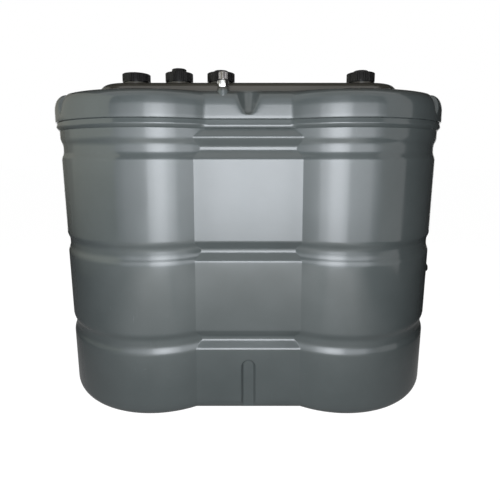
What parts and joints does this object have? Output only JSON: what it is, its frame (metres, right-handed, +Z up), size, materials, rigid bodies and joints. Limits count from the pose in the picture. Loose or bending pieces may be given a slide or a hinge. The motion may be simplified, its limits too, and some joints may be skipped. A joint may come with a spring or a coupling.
{
  "type": "bunded fuel storage tank",
  "caption": "Free-standing moulded plastic fuel tank: two upright round lobes joined by a flat grooved waist, under an overhanging lid with screw caps and a plated outlet.",
  "frame": {"origin": "middle of the tank's base, on the floor", "axes": "+Z up, -Y towards the front, +X to the right along the tank's length"},
  "size_m": [1.694, 0.8926, 1.351],
  "materials": {
    "tank_plastic": "satin rotationally moulded polyethylene, mid grey",
    "cap_plastic": "black moulded screw caps",
    "neck_plastic": "black threaded necks",
    "seal_rubber": "black sealing rings",
    "plated_metal": "bright plated outlet fitting"
  },
  "bodies": {
    "root": {"bund_shell": "tank_plastic", "bund_floor": "tank_plastic", "lid": "tank_plastic", "end_washer": "seal_rubber", "end_plug": "cap_plastic", "fill_neck": "neck_plastic", "fill_seal": "seal_rubber", "fill_cap": "cap_plastic", "vent_neck": "neck_plastic", "vent_seal": "seal_rubber", "vent_cap": "cap_plastic", "gauge_neck": "neck_plastic", "gauge_seal": "seal_rubber", "gauge_cap": "cap_plastic", "inspection_neck": "neck_plastic", "inspection_seal": "seal_rubber", "inspection_cap": "cap_plastic", "outlet_washer": "seal_rubber", "outlet_nut": "plated_metal", "outlet_ring": "seal_rubber", "outlet_barrel": "plated_metal", "outlet_stem": "plated_metal"}
  },
  "joints": []
}
